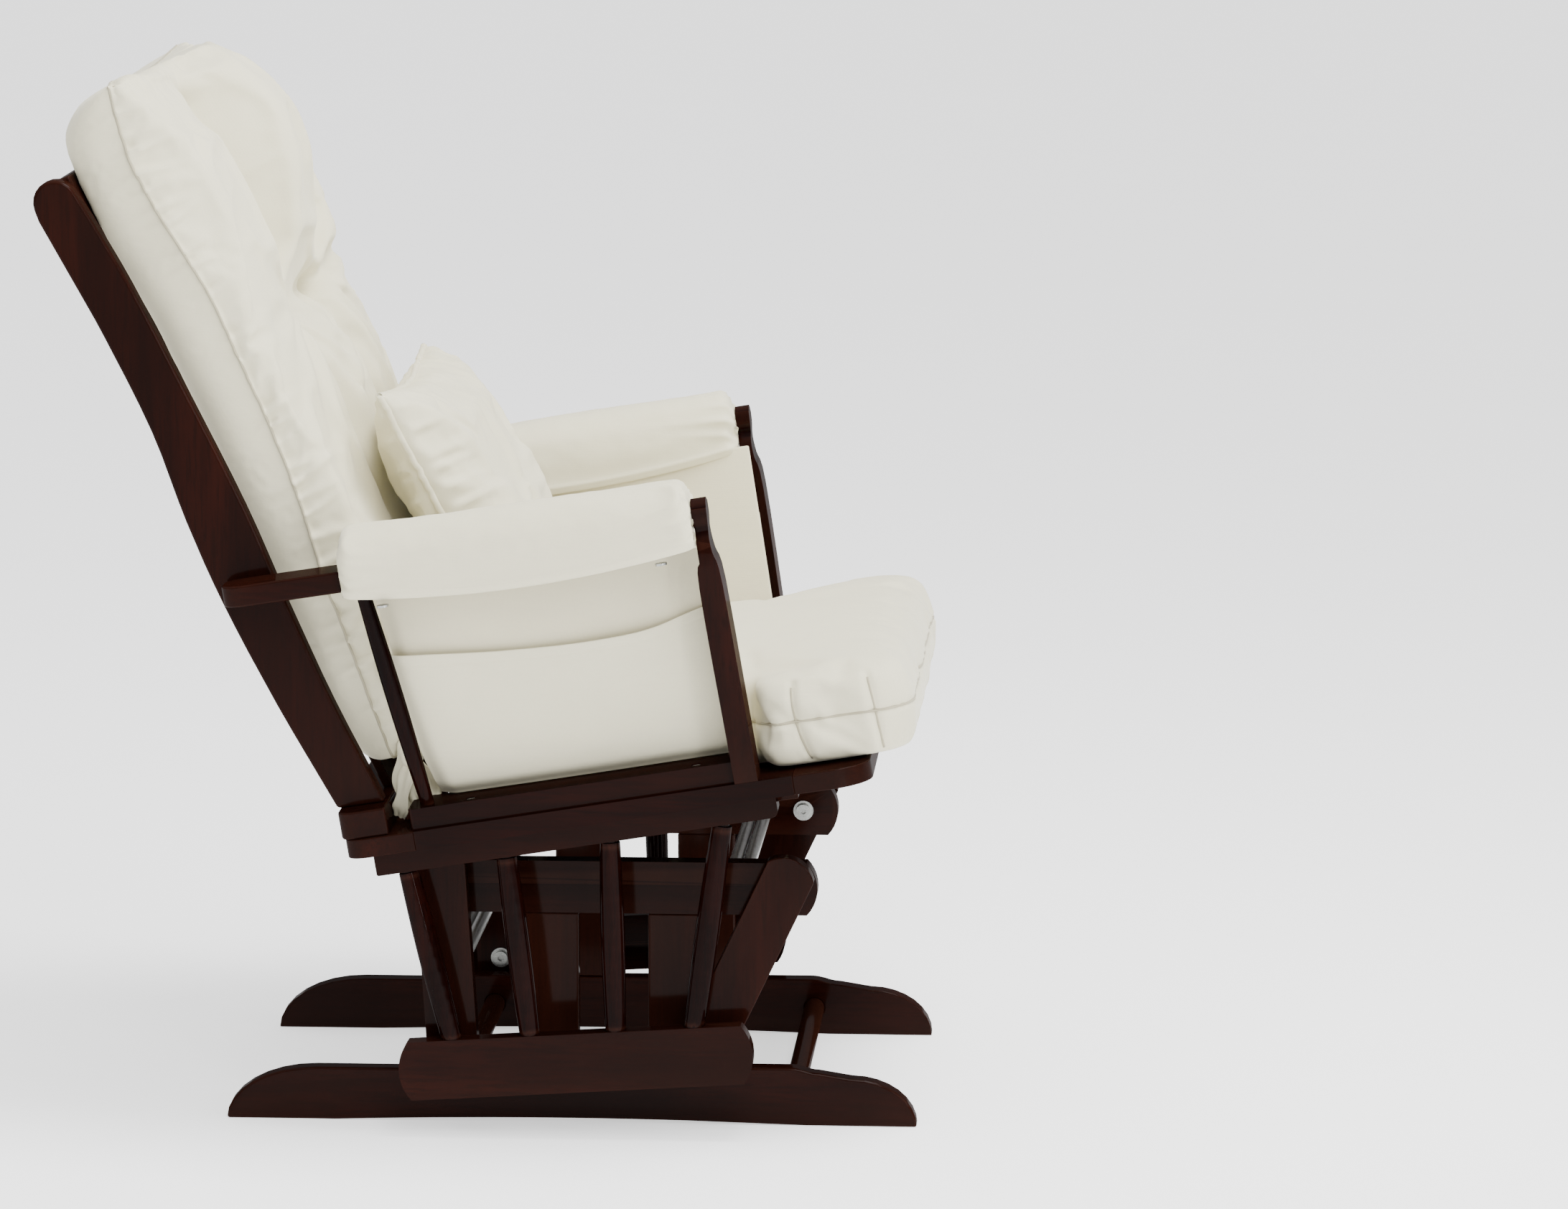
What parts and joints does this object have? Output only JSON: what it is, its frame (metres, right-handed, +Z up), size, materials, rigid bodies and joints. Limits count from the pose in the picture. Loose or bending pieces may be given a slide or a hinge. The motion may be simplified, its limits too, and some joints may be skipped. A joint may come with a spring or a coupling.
{
  "type": "glider nursery chair",
  "caption": "Wooden glider chair: a padded seat and slatted back hang from swinging links on a fixed floor base, so the seat glides forward and back.",
  "frame": {"origin": "on the floor, under the middle of the whole chair at rest", "axes": "+Z up, -Y towards the chair's front, +X towards the sitter's left"},
  "size_m": [0.688, 0.8252, 1.0002],
  "materials": {
    "stained_wood": "dark cherry stain under satin lacquer",
    "grey_steel": "plain drawn steel",
    "zinc_steel": "bright zinc plate",
    "cream_fabric": "matte woven microfibre"
  },
  "bodies": {
    "base": {"runner_right": "stained_wood", "runner_left": "stained_wood", "upright_front_right": "stained_wood", "upright_front_left": "stained_wood", "upright_rear_right": "stained_wood", "upright_rear_left": "stained_wood", "base_rail_right": "stained_wood", "base_rail_left": "stained_wood", "floor_stretcher_front": "stained_wood", "floor_stretcher_rear": "stained_wood", "base_tubes_front": "grey_steel", "base_tubes_rear": "grey_steel", "upper_pivot_bolts": "zinc_steel", "upper_pivot_spacers": "grey_steel"},
    "front_links": {"link_front_right": "stained_wood", "link_front_left": "stained_wood", "front_link_bushes": "grey_steel"},
    "rear_links": {"link_rear_right": "stained_wood", "link_rear_left": "stained_wood", "rear_link_bushes": "grey_steel", "rear_link_tubes": "grey_steel"},
    "seat": {"lower_board_right": "stained_wood", "lower_board_left": "stained_wood", "basket_spindles_right": "stained_wood", "basket_spindles_left": "stained_wood", "spindle_rail_right": "stained_wood", "spindle_rail_left": "stained_wood", "lower_pivot_bolts": "zinc_steel", "lower_pivot_spacers": "grey_steel", "seat_rail_front": "stained_wood", "seat_rail_rear": "stained_wood", "seat_rail_right": "stained_wood", "seat_rail_left": "stained_wood", "seat_cleats": "stained_wood", "seat_slats": "stained_wood", "back_rail_bottom": "stained_wood", "back_post_right": "stained_wood", "back_post_left": "stained_wood", "back_rail_top": "stained_wood", "back_slats": "stained_wood", "arm_base_rail_right": "stained_wood", "arm_base_rail_left": "stained_wood", "arm_post_right": "stained_wood", "arm_post_left": "stained_wood", "arm_dowel_right": "stained_wood", "arm_dowel_left": "stained_wood", "arm_rail_right": "stained_wood", "arm_rail_left": "stained_wood", "arm_screws": "zinc_steel", "seat_cushion": "cream_fabric", "back_cushion": "cream_fabric", "lumbar_pillow": "cream_fabric", "arm_pad_right": "cream_fabric", "arm_pad_left": "cream_fabric", "side_panel_right": "cream_fabric", "side_panel_left": "cream_fabric", "cushion_ties": "cream_fabric", "pad_snaps": "zinc_steel"}
  },
  "joints": [
    {"name": "front_swing", "type": "hinge", "parent": "base", "child": "front_links", "pos_m": [0, -0.2765, 0.229], "axis": [1, 0, 0], "range_deg": [-22, 4]},
    {"name": "seat_pivot", "type": "hinge", "parent": "front_links", "child": "seat", "pos_m": [0, -0.20701, 0.08266], "axis": [1, 0, 0], "range_deg": [-5.4, 29.3]},
    {"name": "rear_swing", "type": "hinge", "parent": "base", "child": "rear_links", "pos_m": [0, 0.0415, 0.229], "axis": [1, 0, 0], "range_deg": [-21.5, 4]}
  ],
  "couplings": [
    {"joint": "seat_pivot", "follows": "front_swing", "ratio": -1.3282},
    {"joint": "rear_swing", "follows": "front_swing", "ratio": 0.9752}
  ]
}
